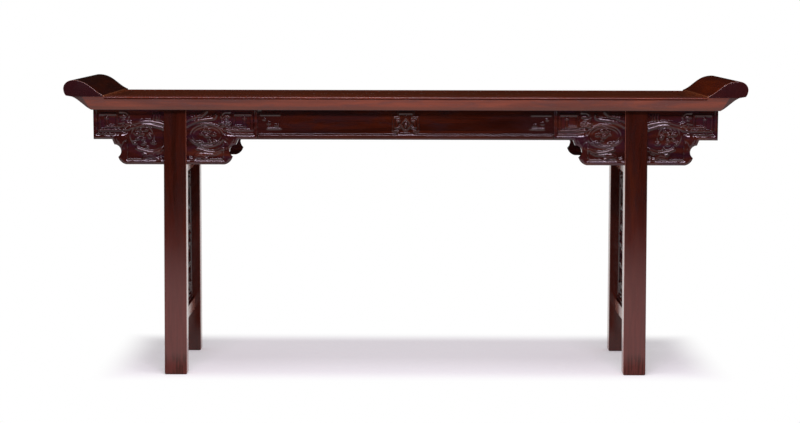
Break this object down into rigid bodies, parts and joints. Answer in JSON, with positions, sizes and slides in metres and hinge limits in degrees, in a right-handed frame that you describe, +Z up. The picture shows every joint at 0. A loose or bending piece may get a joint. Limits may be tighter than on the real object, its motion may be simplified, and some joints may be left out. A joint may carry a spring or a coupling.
{
  "type": "chinese altar table",
  "caption": "Long narrow altar table in dark rosewood with rolled-up end flanges, recessed legs, cloud-shaped carved spandrels and carved panels in the side frames.",
  "frame": {"origin": "on the floor under the middle of the table", "axes": "+X along the table's length to the right, +Y to its back, +Z up"},
  "size_m": [2.07, 0.48, 0.908],
  "materials": {
    "rosewood_leg": "polished dark reddish-brown rosewood",
    "rosewood_carved": "polished dark rosewood, carved in relief",
    "rosewood_moulded_edge": "polished rosewood, moulded edge",
    "rosewood_tabletop": "polished rosewood, long straight grain",
    "rosewood_flange": "polished rosewood, rolled over",
    "rosewood_unpolished": "oiled rosewood underside"
  },
  "bodies": {
    "root": {"leg_front_left": "rosewood_leg", "spandrel_front_left": "rosewood_carved", "leg_front_right": "rosewood_leg", "spandrel_front_right": "rosewood_carved", "leg_back_left": "rosewood_leg", "spandrel_back_left": "rosewood_carved", "leg_back_right": "rosewood_leg", "spandrel_back_right": "rosewood_carved", "apron_front": "rosewood_carved", "top_rail_front": "rosewood_moulded_edge", "top_panel_front": "rosewood_tabletop", "apron_back": "rosewood_carved", "top_rail_back": "rosewood_moulded_edge", "top_panel_back": "rosewood_tabletop", "apron_end_left": "rosewood_carved", "side_panel_left": "rosewood_carved", "side_stretcher_upper_left": "rosewood_leg", "side_stretcher_lower_left": "rosewood_leg", "flange_left": "rosewood_flange", "top_end_rail_left": "rosewood_moulded_edge", "apron_end_right": "rosewood_carved", "side_panel_right": "rosewood_carved", "side_stretcher_upper_right": "rosewood_leg", "side_stretcher_lower_right": "rosewood_leg", "flange_right": "rosewood_flange", "top_end_rail_right": "rosewood_moulded_edge", "top_batten_1": "rosewood_unpolished", "top_batten_2": "rosewood_unpolished", "top_batten_3": "rosewood_unpolished", "top_batten_4": "rosewood_unpolished", "top_batten_5": "rosewood_unpolished"}
  },
  "joints": []
}
